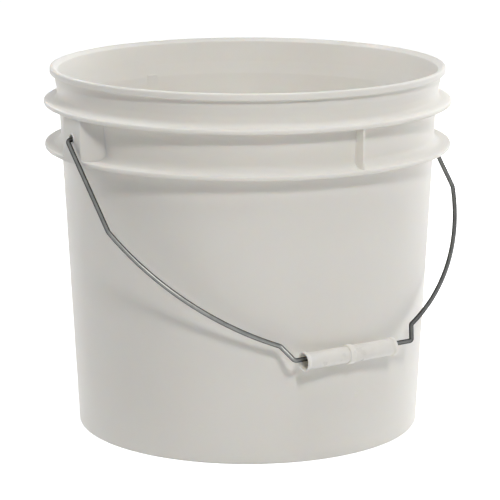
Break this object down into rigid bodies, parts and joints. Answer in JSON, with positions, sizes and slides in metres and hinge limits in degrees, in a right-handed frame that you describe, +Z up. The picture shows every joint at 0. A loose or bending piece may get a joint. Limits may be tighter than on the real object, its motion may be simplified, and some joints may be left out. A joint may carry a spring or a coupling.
{
  "type": "plastic pail",
  "caption": "Open round plastic pail with two flanges under a thick lip, and a wire bail with a moulded grip hanging against its front.",
  "frame": {"origin": "centre of the base, on the surface that the pail stands on", "axes": "+X through the ears, along the bail's pivot; -Y to the front, where the bail hangs; +Z up the pail's axis"},
  "size_m": [0.318, 0.3104, 0.2773],
  "materials": {
    "pail_plastic": "satin off-white polyethylene",
    "galvanised_wire": "drawn galvanised steel wire",
    "grip_plastic": "translucent natural polyethylene"
  },
  "bodies": {
    "pail": {"pail": "pail_plastic"},
    "bail": {"bail_wire": "galvanised_wire"},
    "grip": {"grip": "grip_plastic"}
  },
  "joints": [
    {"name": "bail_swing", "type": "hinge", "parent": "pail", "child": "bail", "pos_m": [0, 0, 0.2332], "axis": [-1, 0, 0], "range_deg": [0, 273.3]},
    {"name": "grip_spin", "type": "hinge", "parent": "bail", "child": "grip", "pos_m": [0, -0.14298, 0.08146], "axis": [1, 0, 0], "continuous": true}
  ]
}
